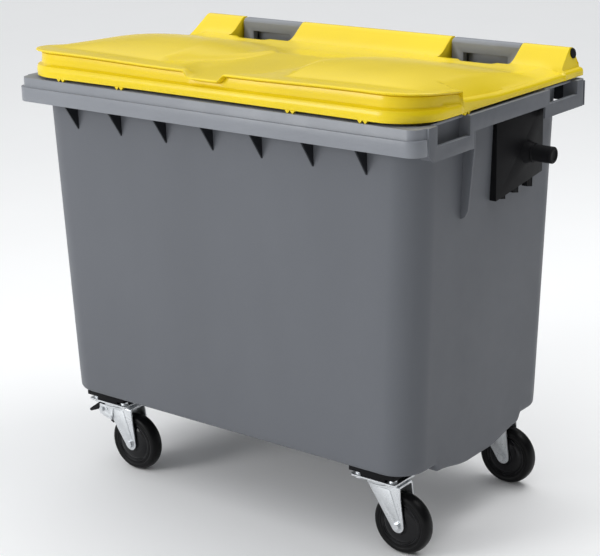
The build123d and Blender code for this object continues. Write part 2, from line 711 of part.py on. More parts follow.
def brake_pedal():
    """The foot pedal with its lever and the shoe that it swings onto the tyre."""
    outline = [(-48, 177), (-60, 178), (-96, 152), (-98, 147), (-92, 145), (-60, 158), (-52, 148), (-40, 150), (-38, 170)]
    pedal = front_cut(outline, -28, 28)
    arm = [(-52, 168), (-40, 172), (-16.9, 122.8), (-22, 120), (-30, 124)]
    pedal += front_cut(arm, -14, 14)
    return pedal - rod_y(BRAKE_PIVOT_X, -40, 40, BRAKE_PIVOT_Z, 4.06)


def save(shapes, node):
    """Writes one piece, or a group of alike pieces, as one node."""
    solids = []
    for shape in shapes if isinstance(shapes, list) else [shapes]:
        solids += shape.solids()
    whole = solids[0] if len(solids) == 1 else Compound(children=solids)
    whole.label = node
    export_step(whole, f"parts/{node}.step")


def save_caster(name, x, y):
    """Writes the nodes of one caster, all trailing towards +X."""
    place = Pos(x, y, 0)
    wheel = Pos(x + TRAIL, y, AXLE_Z)
    save(place * caster_mount(y < 0), f"caster_mount_{name}")
    save(place * caster_plate(), f"caster_plate_{name}")
    save(place * ball_cage(), f"ball_cage_{name}")
    save(place * fork(), f"fork_{name}")
    save([place * piece for piece in axle_bolt()], f"axle_bolt_{name}")
    save(wheel * wheel_centre(), f"wheel_centre_{name}")
    save(wheel * tyre(), f"tyre_{name}")
    save(wheel * wheel_bush(), f"wheel_bush_{name}")
    if name in BRAKED:
        save(place * brake_bracket(), f"brake_bracket_{name}")
        save(place * brake_pin(), f"brake_pin_{name}")
        save(place * brake_pedal(), f"brake_pedal_{name}")


save(tub_shell(), "tub_shell")
save(rim_frame(), "rim_frame")
for end, sign in (("left", -1), ("right", 1)):
    save(rear_handle(sign), f"rear_handle_{end}")
    save(hinge_plug(sign), f"hinge_plug_{end}")
    save(trunnion_panel(sign), f"trunnion_panel_{end}")
    save(trunnion_pin(sign), f"trunnion_pin_{end}")
    save(trunnion_sleeve(sign), f"trunnion_sleeve_{end}")
save(handle_bolts(), "handle_bolts")
save(hinge_rod(), "hinge_rod")
save(lid_shell(), "lid_shell")
save(lid_buffers(), "lid_buffers")
save(trunnion_screws(), "trunnion_screws")
save(drain_plug(), "drain_plug")
save(drain_seal(), "drain_seal")
save(caster_bolts(), "caster_bolts")
save(caster_nuts(), "caster_nuts")
save([Pos(x, y, 0) * kingpin() for x, y in CASTERS.values()], "kingpins")
for caster, (centre_x, centre_y) in CASTERS.items():
    save_caster(caster, centre_x, centre_y)
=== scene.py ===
import json
import math
import bmesh
import bpy
from mathutils import Matrix, Vector


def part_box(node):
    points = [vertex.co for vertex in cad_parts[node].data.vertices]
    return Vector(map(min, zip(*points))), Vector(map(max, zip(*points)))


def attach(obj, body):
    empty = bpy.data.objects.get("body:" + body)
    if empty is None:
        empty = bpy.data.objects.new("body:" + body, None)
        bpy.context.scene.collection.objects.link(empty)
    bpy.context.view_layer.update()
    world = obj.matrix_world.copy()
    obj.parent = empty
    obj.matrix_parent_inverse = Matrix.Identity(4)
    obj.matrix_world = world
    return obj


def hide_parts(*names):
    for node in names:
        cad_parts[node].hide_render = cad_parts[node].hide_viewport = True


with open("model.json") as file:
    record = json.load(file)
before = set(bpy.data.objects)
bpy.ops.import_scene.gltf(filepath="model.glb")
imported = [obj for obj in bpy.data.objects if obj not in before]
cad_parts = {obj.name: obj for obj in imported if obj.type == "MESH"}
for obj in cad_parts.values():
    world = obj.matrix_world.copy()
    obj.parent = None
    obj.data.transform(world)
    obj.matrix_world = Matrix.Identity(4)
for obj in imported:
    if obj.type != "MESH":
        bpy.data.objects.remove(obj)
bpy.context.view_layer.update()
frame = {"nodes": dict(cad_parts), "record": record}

# A four-wheeled waste container. Shapes are worked out in millimetres in the CAD frame and
# stored in metres. The origin is on the ground under the middle, +X is the long way, the lid
# is hinged on the +Y side and +Z is up.

MM = 0.001
LID_LOW, LID_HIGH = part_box("lid_shell")
TUB_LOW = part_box("tub_shell")[0]
RIM_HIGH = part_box("rim_frame")[1]
CASTERS = ("front_left", "front_right", "rear_left", "rear_right")


def smooth(a, b, t):
    """0 below a, 1 above b, with a soft change between."""
    t = min(max((t - a) / (b - a), 0.0), 1.0)
    return t * t * (3 - 2 * t)


def mix(a, b, t):
    return a + (b - a) * t


# Materials


class Nodes:
    """A small helper round a material's node tree."""

    def __init__(self, name):
        self.material = bpy.data.materials.new(name)
        self.material.use_nodes = True
        self.tree = self.material.node_tree
        self.shader = self.tree.nodes["Principled BSDF"]
        self.place = self.add("ShaderNodeTexCoord").outputs["Object"]

    def add(self, kind, **inputs):
        node = self.tree.nodes.new(kind)
        for key, value in inputs.items():
            self.set(node.inputs[key.replace("_", " ")], value)
        return node

    def set(self, socket, value):
        if isinstance(value, bpy.types.NodeSocket):
            self.tree.links.new(value, socket)
        else:
            socket.default_value = value

    def stretch(self, x, y, z):
        """The object's coordinates, scaled along each axis."""
        node = self.add("ShaderNodeMapping", Vector=self.place, Scale=(x, y, z))
        return node.outputs["Vector"]

    def noise(self, scale, detail=4.0, rough=0.55, place=None):
        """Noise with its size as features per metre."""
        node = self.add("ShaderNodeTexNoise", Scale=scale, Detail=detail, Roughness=rough)
        self.set(node.inputs["Vector"], place or self.place)
        return node.outputs["Fac"]

    def ramp(self, value, low, high, start=0.0, end=1.0):
        """Remaps a value from the band low..high to start..end."""
        node = self.add("ShaderNodeMapRange")
        for key, number in (("From Min", low), ("From Max", high), ("To Min", start), ("To Max", end)):
            node.inputs[key].default_value = number
        self.set(node.inputs["Value"], value)
        return node.outputs["Result"]

    def math(self, operation, a, b):
        node = self.add("ShaderNodeMath")
        node.operation = operation
        self.set(node.inputs[0], a)
        self.set(node.inputs[1], b)
        return node.outputs["Value"]

    def blend(self, share, a, b):
        """A mix of two colours."""
        node = self.add("ShaderNodeMix")
        node.data_type = "RGBA"
        self.set(node.inputs["Factor"], share)
        for key, colour in (("A", a), ("B", b)):
            sockets = [s for s in node.inputs if s.name == key and s.type == "RGBA"]
            self.set(sockets[0], colour)
        return [s for s in node.outputs if s.type == "RGBA"][0]

    def edges(self, low, high):
        """Where the surface turns outwards sharply, as on a worn edge."""
        geometry = self.add("ShaderNodeNewGeometry")
        return self.ramp(geometry.outputs["Pointiness"], low, high)

    def bump(self, height, distance, strength, normal=None):
        node = self.add("ShaderNodeBump", Strength=strength, Distance=distance)
        self.set(node.inputs["Height"], height)
        if normal is not None:
            self.set(node.inputs["Normal"], normal)
        return node.outputs["Normal"]

    def finish(self, **inputs):
        for key, value in inputs.items():
            self.set(self.shader.inputs[key.replace("_", " ")], value)
        return self.material


def tone(colour, factor):
    return (*(min(c * factor, 1.0) for c in colour[:3]), 1.0)


def plastic(name, colour, rough, grain, gloss=0.3, scuff=0.35, wear=1.0):
    """Moulded polyethylene: faint flow marks, fine grain, scuffs and paler worn edges."""
    n = Nodes(name)
    base = (*colour, 1.0)
    flow = n.ramp(n.noise(3.2, 3.0, 0.5, n.stretch(1, 1, 0.35)), 0.3, 0.7)
    speck = n.ramp(n.noise(420, 2.0), 0.42, 0.62)
    body = n.blend(flow, tone(base, 0.95), tone(base, 1.05))
    body = n.blend(n.math("MULTIPLY", speck, 0.12 * wear), body, tone(base, 0.82))
    scratch = n.ramp(n.noise(55, 6.0, 0.75, n.stretch(1.0, 1.0, 0.12)), 0.62, 0.74)
    worn = n.math("MULTIPLY", n.edges(0.53, 0.62), n.ramp(n.noise(38, 5.0, 0.7), 0.35, 0.7))
    body = n.blend(n.math("MULTIPLY", worn, 0.35), body, tone(base, 1.3))
    body = n.blend(n.math("MULTIPLY", scratch, 0.10 * wear), body, tone(base, 1.25))
    satin = n.ramp(n.noise(14, 5.0, 0.65), 0.3, 0.75, rough - 0.05 * wear, rough + 0.09 * wear)
    satin = n.math("ADD", satin, n.math("MULTIPLY", scratch, scuff * 0.3))
    wave = n.bump(n.noise(5.5, 2.0, 0.4), 0.0022 * wear, 0.55)
    fine = n.bump(n.noise(grain, 3.0, 0.6), 0.00012, 0.5, wave)
    return n.finish(
        Base_Color=body,
        Roughness=satin,
        Normal=fine,
        Specular_IOR_Level=gloss,
    )


def steel(name, colour, rough):
    """Zinc-plated steel: a mottled crystal pattern, dull patches and rolling marks."""
    n = Nodes(name)
    base = (*colour, 1.0)
    cells = n.add("ShaderNodeTexVoronoi", Scale=260.0)
    n.set(cells.inputs["Vector"], n.place)
    spangle = n.ramp(cells.outputs["Distance"], 0.0, 0.7)
    dull = n.ramp(n.noise(48, 6.0, 0.7), 0.42, 0.68)
    body = n.blend(spangle, tone(base, 0.94), tone(base, 1.05))
    body = n.blend(n.math("MULTIPLY", dull, 0.35), body, tone(base, 0.72))
    gloss = n.math("ADD", n.ramp(dull, 0, 1, rough - 0.06, rough + 0.16), n.ramp(spangle, 0, 1, 0, 0.05))
    marks = n.bump(n.noise(700, 3.0, 0.6, n.stretch(1, 1, 0.08)), 0.00006, 0.6)
    return n.finish(Base_Color=body, Roughness=gloss, Metallic=0.88, Normal=marks)


def rubber(name, colour, rough):
    """Solid tyre rubber: grey dust in patches and a fine pitted skin."""
    n = Nodes(name)
    base = (*colour, 1.0)
    dust = n.ramp(n.noise(26, 6.0, 0.7), 0.5, 0.75)
    body = n.blend(n.math("MULTIPLY", dust, 0.06), base, (0.06, 0.057, 0.052, 1.0))
    gloss = n.ramp(n.noise(60, 4.0), 0.3, 0.7, rough - 0.08, rough + 0.1)
    pits = n.bump(n.noise(900, 4.0, 0.7), 0.00018, 0.7)
    return n.finish(Base_Color=body, Roughness=gloss, Normal=pits, Specular_IOR_Level=0.14)


GREY = plastic("moulded_grey", (0.127, 0.134, 0.149), 0.42, 900, 0.15)
# A paler copy of the tub's grey for the rim and rear handles: painted light that makes them look more
# brightly lit than the tub, which is the same plastic.
PAINTED_LIGHT_GREY = plastic("grey_rim_painted_light", (0.215, 0.227, 0.250), 0.32, 900, 0.35)
# Near-black grey for the front and rear gussets: a painted shadow standing in for the shade under the
# rim.
PAINTED_SHADOW_GREY = plastic("painted_shadow_fins", (0.016, 0.017, 0.020), 0.42, 900, 0.1)
YELLOW = plastic("moulded_yellow", (0.785, 0.59, 0.010), 0.24, 1300, 0.32, 0.12, 0.3)
BLACK = plastic("moulded_black", (0.0085, 0.0085, 0.0095), 0.45, 1000, 0.06)
WHEEL = plastic("wheel_black", (0.004, 0.004, 0.005), 0.17, 1500, 0.25, 0.1)
BUSH = plastic("bush_plastic", (0.55, 0.54, 0.50), 0.45, 1200)
ZINC = steel("zinc_steel", (0.66, 0.68, 0.70), 0.30)
TYRE = rubber("tyre_rubber", (0.004, 0.004, 0.0045), 0.38)
SEAL = rubber("seal_rubber", (0.02, 0.02, 0.02), 0.55)

FINISH = {
    "grey_plastic": GREY,
    "yellow_plastic": YELLOW,
    "black_plastic": BLACK,
    "zinc_steel": ZINC,
    "seal_rubber": SEAL,
    "wheel_plastic": WHEEL,
    "tyre_rubber": TYRE,
    "bush_plastic": BUSH,
}
# Parts that get the paler copy of the grey as painted light.
PAINTED_LIGHT_PARTS = ("rim_frame", "rear_handle_left", "rear_handle_right")
# Rim faces that reach below RIM_FOOT less FIN_MARGIN are gussets; those nearer the middle than END_FINS
# in x get the painted shadow.
RIM_FOOT = 1036.0
FIN_MARGIN = 4.0
END_FINS = 560.0
SLOTS = {part["node"]: part["material_slot"] for part in frame["record"]["subparts"]}
BODY_OF = {
    node: body
    for body, members in frame["record"]["behaviour"]["bodies"].items()
    for node in members
}


# Mesh helpers

EDGE_ANGLE = 32.0
FLAT_ANGLE = 0.8


def piece(name, verts, faces, body, slot):
    """A new mesh piece from points in millimetres, with its finish and its body."""
    mesh = bpy.data.meshes.new(name)
    mesh.from_pydata([Vector(v) * MM for v in verts], [], faces)
    mesh.validate()
    obj = bpy.data.objects.new(name, mesh)
    bpy.context.scene.collection.objects.link(obj)
    obj.data.materials.append(FINISH[slot])
    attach(obj, body)
    return obj


def modify(obj, kind, **settings):
    """Adds a modifier and applies it at once."""
    modifier = obj.modifiers.new(kind.lower(), kind)
    for key, value in settings.items():
        setattr(modifier, key, value)
    bpy.context.view_layer.objects.active = obj
    with bpy.context.temp_override(object=obj, active_object=obj):
        bpy.ops.object.modifier_apply(modifier=modifier.name)


def shade(obj, degrees=35):
    """Smooth shading, with edges kept sharp above an angle."""
    obj.data.shade_smooth()
    obj.data.set_sharp_from_angle(angle=math.radians(degrees))


def outward(obj):
    """Makes all faces point outwards."""
    bm = bmesh.new()
    bm.from_mesh(obj.data)
    bmesh.ops.recalc_face_normals(bm, faces=bm.faces)
    bm.to_mesh(obj.data)
    bm.free()


def soften(node, width):
    """A copy of a CAD node with its flat faces joined up and its edges rounded over."""
    source = frame["nodes"][node]
    mesh = source.data.copy()
    mesh.name = f"{node}_soft"
    obj = bpy.data.objects.new(f"{node}_soft", mesh)
    bpy.context.scene.collection.objects.link(obj)
    bm = bmesh.new()
    bm.from_mesh(mesh)
    bmesh.ops.remove_doubles(bm, verts=bm.verts, dist=2e-6)
    bmesh.ops.dissolve_limit(bm, angle_limit=math.radians(FLAT_ANGLE), verts=bm.verts, edges=bm.edges)
    bm.to_mesh(mesh)
    bm.free()
    if "custom_normal" in mesh.attributes:
        mesh.attributes.remove(mesh.attributes["custom_normal"])
    slot = SLOTS[node]
    mesh.materials.clear()
    # The rim and rear handles get the paler copy of the grey, as painted light.
    mesh.materials.append(PAINTED_LIGHT_GREY if node in PAINTED_LIGHT_PARTS else FINISH[slot])
    modify(
        obj,
        "BEVEL",
        width=width * MM,
        segments=2,
        limit_method="ANGLE",
        angle_limit=math.radians(EDGE_ANGLE),
        use_clamp_overlap=True,
        loop_slide=False,
    )
    shade(obj, 34)
    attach(obj, BODY_OF[node])
    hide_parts(node)
    return obj


def paint_fin_shadows(rim):
    """Gives the gussets below the rim their own greys.

    Those in front and behind get a near-black painted shadow, in place of the shade under the rim.
    """
    rim.data.materials.append(GREY)
    rim.data.materials.append(PAINTED_SHADOW_GREY)
    for face in rim.data.polygons:
        lowest = min(rim.data.vertices[i].co.z for i in face.vertices) / MM
        if lowest < RIM_FOOT - FIN_MARGIN:
            # Index 2 is the painted shadow on the front and rear gussets; index 1 gives the side gussets
            # the tub's plain grey.
            face.material_index = 2 if abs(face.center.x) / MM < END_FINS else 1


def spread(marks, steps):
    """Numbers from the first mark to the last, in even steps that land on every mark."""
    line = [marks[0]]
    for start, end, step in zip(marks, marks[1:], steps):
        count = max(1, round((end - start) / step))
        line += [start + (end - start) * (i + 1) / count for i in range(count)]
    return line


class Sheet:
    """A grid over a rectangle with rounded corners, and the loop round its border."""

    def __init__(self, xs, ys, front_radius, rear_radius):
        self.xs, self.ys = xs, ys
        self.radius = (front_radius, rear_radius)
        self.wide, self.deep = len(xs), len(ys)

    def round_off(self, x, y):
        """A grid point's place once the corners are rounded, and its outward direction."""
        x0, x1, y0, y1 = self.xs[0], self.xs[-1], self.ys[0], self.ys[-1]
        front = y < (y0 + y1) / 2
        r = self.radius[0] if front else self.radius[1]
        sx = 1 if x > (x0 + x1) / 2 else -1
        sy = -1 if front else 1
        cx = (x1 - r) if sx > 0 else (x0 + r)
        cy = (y0 + r) if front else (y1 - r)
        u = (x - cx) * sx / r
        v = (y - cy) * sy / r
        if u <= 0 or v <= 0:
            normal = (sx, 0) if u >= 1 - 1e-6 else (0, sy)
            return x, y, normal
        px = u * math.sqrt(1 - v * v / 2)
        py = v * math.sqrt(1 - u * u / 2)
        size = math.hypot(px, py)
        return cx + sx * r * px, cy + sy * r * py, (sx * px / size, sy * py / size)

    def border(self):
        """Grid places round the border, anticlockwise seen from above."""
        i1, j1 = self.wide - 1, self.deep - 1
        loop = [(i, 0) for i in range(i1)]
        loop += [(i1, j) for j in range(j1)]
        loop += [(i, j1) for i in range(i1, 0, -1)]
        loop += [(0, j) for j in range(j1, 0, -1)]
        return loop


# Lid

LID_HALF = LID_HIGH.x / MM
LID_FRONT = -372.0
LID_REAR = LID_HIGH.y / MM
LID_FOOT = LID_LOW.z / MM
LID_EDGE = 12.0
LID_NOSE = 14.0
NOTCH = (248.5, 463.5)
NOTCH_FRONT = 281.0
RIDGE_TOP = 1176.0
BEAD_TOP = 1125.0
SHELF = 205.0
SHELF_RISE = 6.0
SIDE_FOLD = -186.0
LID_WALL = 4.0
LID_CREST = 1168.0
SLOPE_FRONT = -352.0
SLOPE_DROP = 40.0
MIDDLE_LEVEL = 1151.0
PILLOW_HEIGHT = 36.5
PILLOW_CREST = 330.0
PILLOW_MIDDLE = -60.0
RIDGE_FRONT = 296.0
RIDGE_SHOULDER = 350.0
RIDGE_BACK = 372.0
RIDGE_HALF = 599.0
RIDGE_FLARE = 12.0
RIDGE_RISE = 54.0
STEP_X = 372.0
STEP_DEPTH = 6.0


def fall(y):
    """The lid's slope down from its front to the shelf before the ridge."""
    drop = (min(y, SHELF) - SLOPE_FRONT) * SLOPE_DROP / (SHELF - SLOPE_FRONT)
    return LID_CREST - drop + max(y - SHELF, 0) * SHELF_RISE / (RIDGE_FRONT - SHELF)


def channel(x, y):
    """How far the level middle lies below the sloping lid: a dip in front, a low step behind."""
    depth = (fall(y) - MIDDLE_LEVEL) * (1 - smooth(22, 92, y))
    centre = mix(4.0, 0.0, smooth(-340, -200, y))
    width = mix(44.0, 80.0, smooth(-346, -230, y))
    reach = mix(22.0, 64.0, smooth(-354, -305, y))
    return depth * (1 - smooth(width, width + reach, abs(x - centre)))


def pillow(x, y):
    """The height of the raised pillow on each side of the lid: a steep inner flank and a crest."""
    side = abs(x)
    crest = mix(198.0, 262.0, smooth(-190, 10, y))
    foot = 84 + (y - 20) ** 2 * (0.0013 if y < 20 else 0.0045)
    if side < crest:
        rise = min(max((side - foot - 8) / max(crest - foot - 8, 1), 0), 1)
        across = 0.93 * mix(rise, smooth(foot, foot + 20, side), 0.2)
    elif side < PILLOW_CREST:
        across = 0.93 + 0.07 * math.sin(math.pi / 2 * (side - crest) / (PILLOW_CREST - crest))
    else:
        across = (1 - min((side - PILLOW_CREST) / 270, 1) ** 3.2) ** 0.8
    if y < PILLOW_MIDDLE:
        along = (1 - min((PILLOW_MIDDLE - y) / 236, 1) ** 1.9) ** 0.95
    else:
        along = (1 - min((y - PILLOW_MIDDLE) / 290, 1) ** 1.7) ** 1.1
    return PILLOW_HEIGHT * across * along


def ridge(y):
    """The hinge ridge's height over y, or 0 in front of it."""
    if y < RIDGE_FRONT:
        return 0.0
    if y < RIDGE_SHOULDER:
        return mix(1130.5, RIDGE_TOP - 2, (y - RIDGE_FRONT) / (RIDGE_SHOULDER - RIDGE_FRONT))
    if y < RIDGE_BACK:
        return RIDGE_TOP - ((y - 361) / 11) ** 2 * 2
    return mix(RIDGE_TOP - 2, 1127, (y - RIDGE_BACK) / 12)


def lid_top(x, y):
    """The lid's upper surface."""
    slope = fall(y)
    slope += 5.0 * smooth(90, 460, abs(x)) * (1 - smooth(-300, -120, y))
    if y > SIDE_FOLD:
        drop = min(21.0, (slope - LID_FOOT - 16) * 0.85)
        slope -= drop * min(max(abs(x) - 556, 0) / 46, 1)
    height = slope + pillow(x, y) - channel(x, y)
    height -= STEP_DEPTH * smooth(268, 279, y) * (1 - smooth(46, 54, abs(abs(x) - STEP_X)))
    crown = ridge(y)
    gap = abs(height - crown)
    return max(height, crown) + (max(12 - gap, 0) ** 2 / 48 if crown else 0)


LIP = ((9, -0.3), (12.6, -0.9), (14.4, -2.4), (14.2, -4.4), (9.0, -5.6))
SIDE = ((4, -1.2), (7.5, -3.0), (9.5, -5.2), (10.6, -7.6), (11.0, -10.0))
THROAT = ((1.0, 0.97), (0.4, 0.95), (-4.2, 0.945), (-4.6, 0.92), (0.2, 0.905), (0.8, 0.70), (1.6, 0.51))
THROAT += ((4.5, 0.465), (11.0, 0.43), (13.8, 0.35), (14.9, 0.22), (14.4, 0.06))
WALL = ((11.1, 0.94), (11.1, 0.90), (11.2, 0.86), (11.2, 0.82), (11.3, 0.76), (11.4, 0.66), (11.5, 0.56))
WALL += ((11.6, 0.46), (11.7, 0.36), (11.8, 0.26), (12, 0.16), (12, 0.05))


def ridge_end(z):
    """Half the ridge's length at a height: its ends flare out downwards."""
    end = RIDGE_HALF + (RIDGE_TOP - max(z, BEAD_TOP)) * RIDGE_FLARE / RIDGE_RISE
    below = min(max(BEAD_TOP - z, 0) / 10, 1)
    return end + (LID_HALF - end) * math.sqrt(1 - (1 - below) ** 2)


def lid_point(sheet, i, j):
    """One point of the lid's top, and its outward direction."""
    x, y, normal = sheet.round_off(sheet.xs[i], sheet.ys[j])
    y += 5 * max(0, 1 - (x / 520) ** 2) * (1 - smooth(-358, -200, y))
    z = lid_top(x, y)
    over = smooth(286, 300, y)
    if over and abs(x) > NOTCH[1]:
        end = mix(LID_HALF - LID_EDGE, ridge_end(z), over)
        share = (abs(x) - NOTCH[1]) / (LID_HALF - LID_EDGE - NOTCH[1])
        x = math.copysign(NOTCH[1] + (end - NOTCH[1]) * share, x)
    return (x, y, z), normal


def lid_edge(point, normal):
    """The points of the lid's edge below one point of its border."""
    x, y, z = point
    plain = smooth(SIDE_FOLD - 4, SIDE_FOLD + 4, y)
    shallow = smooth(-290, SIDE_FOLD, y) * (1 - plain)
    rear = normal[1] ** 2 if y > 0 else 0
    tongue = 1 - smooth(40, 62, abs(x - 4)) if y < 0 else 0
    raised = smooth(290, 300, y)
    rows = [(mix(a, b, plain), z + mix(c, d, plain)) for (a, c), (b, d) in zip(LIP, SIDE)]
    low = LID_FOOT
    under = rows[-1][1]
    dip = channel(x, y) if y < 0 else 0
    for (a, share), (b, other) in zip(THROAT, WALL):
        reach = mix(mix(a, b, plain), 12.5, 0.5 * shallow if a < 12 else 0)
        share = mix(share, other, plain)
        straight = dip * share * (1 - smooth(0.5, 0.9, share))
        rows.append((reach, low + (under - low) * share + straight))
    rows.append((mix(14.5, 12, plain), low))
    column = []
    for k, (reach, height) in enumerate(rows):
        reach *= 1 - rear
        if k < len(LIP):
            reach += 4 * tongue
        px, py = x + normal[0] * reach, y + normal[1] * reach
        if raised and abs(normal[0]) > 0.5:
            down = mix(z, BEAD_TOP, (k + 1) / 9) if k < 9 else mix(BEAD_TOP - 1.5, LID_FOOT, (k - 9) / 8)
            height = mix(height, down, raised)
            px = math.copysign(mix(abs(px), ridge_end(height), raised), x)
        column.append((px, py, height))
    return column


def make_lid():
    """The whole lid as one skin: top, lip, throat, skirt and notch walls, then thickened."""
    half = LID_HALF - LID_EDGE
    marks = [110, NOTCH[0], NOTCH[1], half - 100, half - 8, half]
    marks = [-x for x in reversed(marks)] + marks
    xs = spread(marks, [4, 8, 9, 11, 9, 6, 9, 11, 9, 8, 4])
    marks = [LID_FRONT + LID_NOSE, -258, SIDE_FOLD - 4, SIDE_FOLD + 4, 30, 72, NOTCH_FRONT, LID_REAR]
    ys = spread(marks, [7, 8, 8, 9, 7, 9, 5.5])
    sheet = Sheet(xs, ys, 98, 8)
    verts, index, faces = [], {}, []

    def corner(i, j):
        if (i, j) not in index:
            index[i, j] = len(verts)
            verts.append(lid_point(sheet, i, j)[0])
        return index[i, j]

    def in_notch(x0, x1, y0):
        middle = abs(x0 + x1) / 2
        return NOTCH[0] < middle < NOTCH[1] and y0 >= NOTCH_FRONT - 0.01

    for i in range(sheet.wide - 1):
        for j in range(sheet.deep - 1):
            if not in_notch(xs[i], xs[i + 1], ys[j]):
                faces.append([corner(i, j), corner(i + 1, j), corner(i + 1, j + 1), corner(i, j + 1)])
    loop = sheet.border()
    columns = {}
    for i, j in loop:
        if (i, j) in index:
            point, normal = lid_point(sheet, i, j)
            start = len(verts)
            ring = lid_edge(point, normal)
            verts.extend(ring)
            columns[i, j] = [index[i, j], *range(start, start + len(ring))]
    for a, b in zip(loop, loop[1:] + loop[:1]):
        if a not in columns or b not in columns:
            continue
        if a[1] == b[1] and in_notch(xs[a[0]], xs[b[0]], ys[a[1]]):
            continue
        for k in range(len(columns[a]) - 1):
            faces.append([columns[a][k], columns[a][k + 1], columns[b][k + 1], columns[b][k]])
    lid = piece("lid_cover", verts, faces, "lid", "yellow_plastic")
    bm = bmesh.new()
    bm.from_mesh(lid.data)
    bm.edges.ensure_lookup_table()

    def at_notch(co):
        across = NOTCH[0] - 0.5 < abs(co.x / MM) < NOTCH[1] + 0.5
        return across and co.y / MM > NOTCH_FRONT - 0.5 and co.z / MM > LID_FOOT + 1

    rim = [
        e for e in bm.edges
        if e.is_boundary
        and all(at_notch(v.co) for v in e.verts)
        and not all(v.co.y / MM > LID_REAR - 0.5 for v in e.verts)
    ]
    grown = bmesh.ops.extrude_edge_only(bm, edges=rim)["geom"]
    for v in grown:
        if isinstance(v, bmesh.types.BMVert):
            v.co.z = LID_FOOT * MM
    bmesh.ops.remove_doubles(bm, verts=bm.verts, dist=1e-5)
    bmesh.ops.recalc_face_normals(bm, faces=bm.faces)
    bm.to_mesh(lid.data)
    bm.free()
    top = max(lid.data.polygons, key=lambda p: p.center.z * (abs(p.center.y) < 0.2))
    if top.normal.z < 0:
        lid.data.flip_normals()
    modify(
        lid,
        "SOLIDIFY",
        thickness=LID_WALL * MM,
        offset=-1.0,
        use_quality_normals=True,
        use_even_offset=False,
    )
    modify(lid, "BEVEL", width=1.8 * MM, segments=2, limit_method="ANGLE", angle_limit=math.radians(52))
    shade(lid, 40)
    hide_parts("lid_shell")


# Tub

TUB_TOP = RIM_HIGH.z / MM - 6
FOOT_Z = 228.0
FOOT_HALF = (566.0, 328.0)
WALL_SPREAD = (33.0, 7.0)
WALL_RISE = 808.0
BELLY_Z = TUB_LOW.z / MM
TUB_RADIUS = 80.0
TUB_WALL = 5.0


def tub_half(z):
    """Half the tub's width and depth at a height."""
    share = (z - FOOT_Z) / WALL_RISE
    return FOOT_HALF[0] + WALL_SPREAD[0] * share, FOOT_HALF[1] + WALL_SPREAD[1] * share


def underside(y):
    """The height of the tub's underside: a belly between the front and rear casters."""
    far = abs(y)
    step = mix(207, FOOT_Z, smooth(188, 205, far))
    middle = mix(BELLY_Z, 206, smooth(48, 190, far))
    return min(step, mix(middle, FOOT_Z, smooth(186, 206, far)))


def make_tub():
    """The tub's skin from the underside up round the edge and up the walls, then thickened."""
    fillet = 12.0
    half_x, half_y = tub_half(FOOT_Z)
    inner = (half_x - fillet, half_y - fillet)
    rest = TUB_RADIUS - fillet
    xs = spread([-inner[0], -inner[0] + rest, inner[0] - rest, inner[0]], [8, 40, 8])
    ys = spread([-inner[1], -inner[1] + rest, inner[1] - rest, inner[1]], [6, 6, 6])
    sheet = Sheet(xs, ys, rest, rest)
    verts, faces = [], []
    for i in range(sheet.wide):
        for j in range(sheet.deep):
            x, y, _ = sheet.round_off(xs[i], ys[j])
            verts.append((x, y, underside(y)))
    for i in range(sheet.wide - 1):
        for j in range(sheet.deep - 1):
            a = i * sheet.deep + j
            faces.append([a, a + 1, a + sheet.deep + 1, a + sheet.deep])
    columns = []
    levels = [0.03, 0.08, 0.16, 0.26, 0.36, 0.46, 0.56, 0.66, 0.76, 0.86, 0.93, 1.0]
    for i, j in sheet.border():
        x, y, (nx, ny) = sheet.round_off(xs[i], ys[j])
        foot = underside(y)
        core = ((x - nx * rest) / (inner[0] - rest), (y - ny * rest) / (inner[1] - rest))
        column = [i * sheet.deep + j]
        for k in range(1, 5):
            a = math.pi / 2 * k / 4
            reach, z = fillet * math.sin(a), foot + fillet * (1 - math.cos(a))
            column.append(len(verts))
            verts.append((x + nx * reach, y + ny * reach, z))
        for share in levels:
            z = mix(foot + fillet, TUB_TOP, share)
            hx, hy = tub_half(z)
            column.append(len(verts))
            px = core[0] * (hx - TUB_RADIUS) + nx * TUB_RADIUS
            py = core[1] * (hy - TUB_RADIUS) + ny * TUB_RADIUS
            verts.append((px, py, z))
        columns.append(column)
    for a, b in zip(columns, columns[1:] + columns[:1]):
        for k in range(len(a) - 1):
            faces.append([a[k], b[k], b[k + 1], a[k + 1]])
    tub = piece("tub_body", verts, faces, "root", "grey_plastic")
    outward(tub)
    lowest = min(tub.data.polygons, key=lambda p: p.center.z)
    if lowest.normal.z > 0:
        tub.data.flip_normals()
    modify(tub, "SOLIDIFY", thickness=TUB_WALL * MM, offset=-1.0, use_even_offset=True)
    shade(tub, 40)
    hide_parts("tub_shell")


# Wheels

WHEEL_STEPS = 96
TYRE_RADIUS = 80.0
TYRE_HALF = 19.0
TREAD_CROWN = 10.5


def revolve(name, profile, centre, body, slot):
    """A ring of a closed (radius, y) profile about the wheel's axle."""
    verts, faces = [], []
    count = len(profile)
    for s in range(WHEEL_STEPS):
        a = 2 * math.pi * s / WHEEL_STEPS
        for r, y in profile:
            verts.append((centre[0] + r * math.cos(a), centre[1] + y, centre[2] + r * math.sin(a)))
    for s in range(WHEEL_STEPS):
        for k in range(count):
            a, b = s * count + k, s * count + (k + 1) % count
            after = (s + 1) % WHEEL_STEPS * count
            c, d = after + (k + 1) % count, after + k
            faces.append([a, b, c, d])
    obj = piece(name, verts, faces, body, slot)
    outward(obj)
    shade(obj, 38)
    return obj


